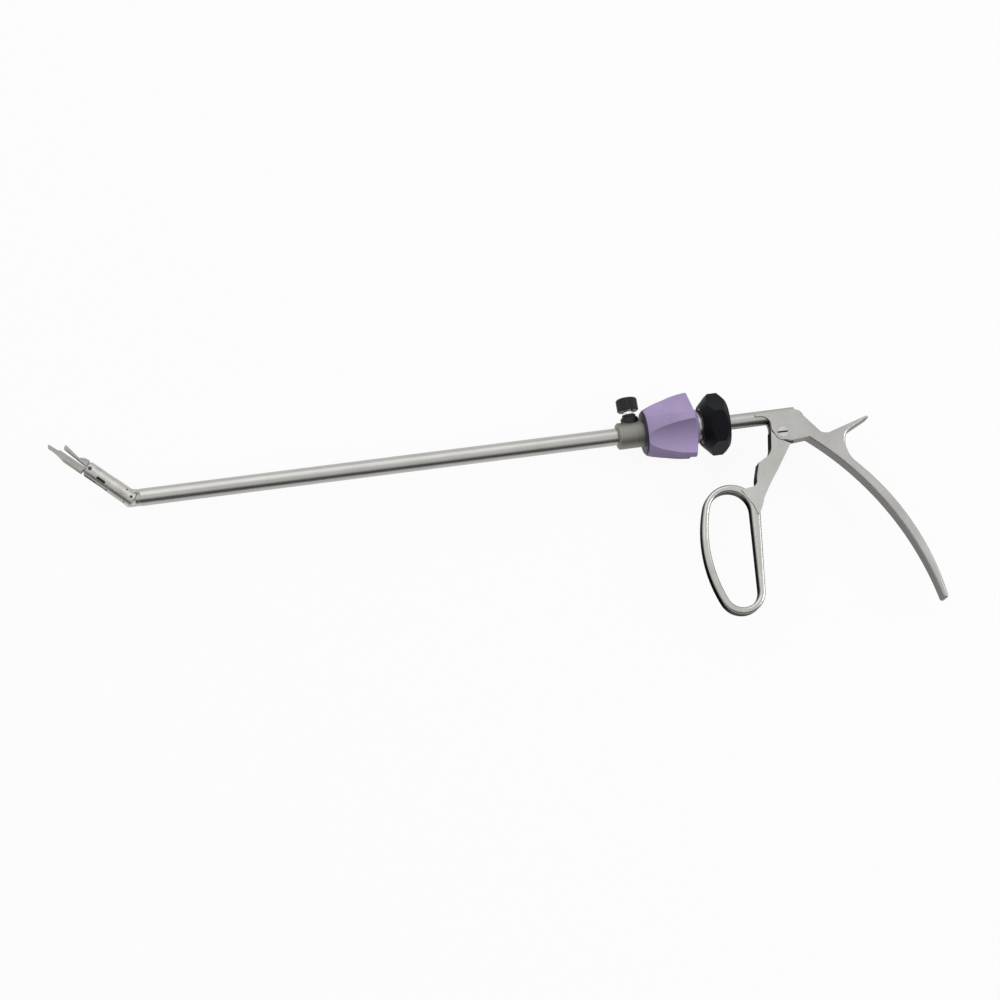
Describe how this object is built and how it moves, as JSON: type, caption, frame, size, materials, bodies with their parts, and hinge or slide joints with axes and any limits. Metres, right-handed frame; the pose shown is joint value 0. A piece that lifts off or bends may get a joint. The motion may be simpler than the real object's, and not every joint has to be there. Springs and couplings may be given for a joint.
{
  "type": "laparoscopic clip applier",
  "caption": "Hand-held clip applier with a long thin shaft, an elbowed jaw head, a roll knob, a bend wheel, a flush port and a finger-loop trigger.",
  "frame": {"origin": "on the shaft's axis at the collar's front face, which is the centre of the shaft tube mount", "axes": "+X along the shaft towards the handle, +Y towards the flush port and the side the head bends to, +Z out of the handle's flat side"},
  "size_m": [0.5019, 0.1577, 0.0393],
  "materials": {
    "outer_tube": "satin, drawn along the tube",
    "shaft_collar": "turned, warm grey",
    "elbow_tongue": "machined",
    "shaft_tail": "turned",
    "tail_nut": "turned",
    "port_base": "black moulded",
    "port_stem": "polished",
    "port_seal": "soft washer",
    "port_cap": "black moulded, ribbed",
    "knob_ring": "near black",
    "rotation_knob": "lilac, matte",
    "knob_screw": "turned",
    "articulation_wheel": "black, matte",
    "wheel_nut": "turned",
    "pull_tube": "drawn",
    "key_ring": "turned",
    "rod_seal": "soft",
    "tilt_link": "stamped",
    "pull_pin": "ground",
    "drive_rod": "drawn",
    "rod_ball": "ground",
    "drive_strip": "spring strip",
    "head_yoke": "satin",
    "elbow_pin_near": "ground",
    "elbow_pin_far": "ground",
    "jaw_pin": "ground",
    "link_pin": "ground",
    "lower_jaw": "satin",
    "upper_jaw": "satin",
    "jaw_pusher": "machined",
    "drive_pin": "ground",
    "neck_bush": "turned",
    "retaining_clip": "spring steel",
    "handle_body": "satin, rounded by hand",
    "pivot_screw": "polished",
    "trigger_lever": "satin and polished"
  },
  "bodies": {
    "handle": {"handle_body": "handle_body", "pivot_screw": "pivot_screw", "neck_bush": "neck_bush", "retaining_clip": "retaining_clip"},
    "lever": {"trigger_lever": "trigger_lever"},
    "shaft": {"outer_tube": "outer_tube", "shaft_collar": "shaft_collar", "elbow_tongue": "elbow_tongue", "shaft_tail": "shaft_tail", "tail_nut": "tail_nut", "port_base": "port_base", "port_stem": "port_stem", "knob_ring": "knob_ring", "rotation_knob": "rotation_knob", "knob_screw": "knob_screw"},
    "cap_seal": {"port_seal": "port_seal"},
    "port_cap": {"port_cap": "port_cap"},
    "wheel": {"articulation_wheel": "articulation_wheel", "wheel_nut": "wheel_nut"},
    "pull": {"pull_tube": "pull_tube", "key_ring": "key_ring", "rod_seal": "rod_seal", "pull_pin": "pull_pin"},
    "tilt_link": {"tilt_link": "tilt_link"},
    "drive": {"drive_rod": "drive_rod", "rod_ball": "rod_ball", "drive_strip": "drive_strip"},
    "head": {"head_yoke": "head_yoke", "elbow_pin_near": "elbow_pin_near", "elbow_pin_far": "elbow_pin_far", "jaw_pin": "jaw_pin", "link_pin": "link_pin"},
    "lower_jaw": {"lower_jaw": "lower_jaw"},
    "upper_jaw": {"upper_jaw": "upper_jaw"},
    "pusher": {"jaw_pusher": "jaw_pusher", "drive_pin": "drive_pin"}
  },
  "joints": [
    {"name": "lever_swing", "type": "hinge", "parent": "handle", "child": "lever", "pos_m": [0.0965, -0.0108, 0], "axis": [0, 0, 1], "range_deg": [0, 16]},
    {"name": "shaft_roll", "type": "hinge", "parent": "handle", "child": "shaft", "pos_m": [0, 0, 0], "axis": [1, 0, 0], "continuous": true},
    {"name": "cap_lift", "type": "slide", "parent": "shaft", "child": "cap_seal", "axis": [0, 1, 0], "range_m": [0, 0.003]},
    {"name": "cap_turn", "type": "hinge", "parent": "cap_seal", "child": "port_cap", "pos_m": [0.0089, 0, 0], "axis": [0, 1, 0], "range_deg": [0, 720]},
    {"name": "wheel_turn", "type": "hinge", "parent": "shaft", "child": "wheel", "pos_m": [0, 0, 0], "axis": [1, 0, 0], "range_deg": [0, 344]},
    {"name": "pull_slide", "type": "slide", "parent": "shaft", "child": "pull", "axis": [-1, 0, 0], "range_m": [0, 0.00263]},
    {"name": "head_tilt", "type": "hinge", "parent": "shaft", "child": "head", "pos_m": [-0.283, 0, 0], "axis": [0, 0, 1], "range_deg": [0, 43.1]},
    {"name": "link_swing", "type": "hinge", "parent": "pull", "child": "tilt_link", "pos_m": [-0.268, 0.0031, 0], "axis": [0, 0, 1], "range_deg": [0, 8.3]},
    {"name": "drive_slide", "type": "slide", "parent": "shaft", "child": "drive", "axis": [-1, 0, 0], "range_m": [0, 0.00304], "deforming": ["drive_strip"]},
    {"name": "pusher_slide", "type": "slide", "parent": "head", "child": "pusher", "axis": [-0.7314, 0.682, 0], "range_m": [0, 0.00304]},
    {"name": "lower_jaw_close", "type": "hinge", "parent": "head", "child": "lower_jaw", "pos_m": [-0.30384, 0.01944, 0], "axis": [0, 0, -1], "range_deg": [0, 3.06]},
    {"name": "upper_jaw_close", "type": "hinge", "parent": "head", "child": "upper_jaw", "pos_m": [-0.30384, 0.01944, 0], "axis": [0, 0, 1], "range_deg": [0, 3.06]}
  ],
  "couplings": [
    {"joint": "cap_turn", "follows": "cap_lift", "rad_per_m": 4188.8},
    {"joint": "wheel_turn", "follows": "pull_slide", "rad_per_m": 2283.1},
    {"joint": "head_tilt", "follows": "pull_slide", "rad_per_m": 285.39},
    {"joint": "link_swing", "follows": "pull_slide", "rad_per_m": 54.612},
    {"joint": "drive_slide", "follows": "lever_swing", "m_per_rad": 0.01085},
    {"joint": "pusher_slide", "follows": "lever_swing", "m_per_rad": 0.01085},
    {"joint": "lower_jaw_close", "follows": "lever_swing", "ratio": 0.1906},
    {"joint": "upper_jaw_close", "follows": "lever_swing", "ratio": 0.1906}
  ]
}
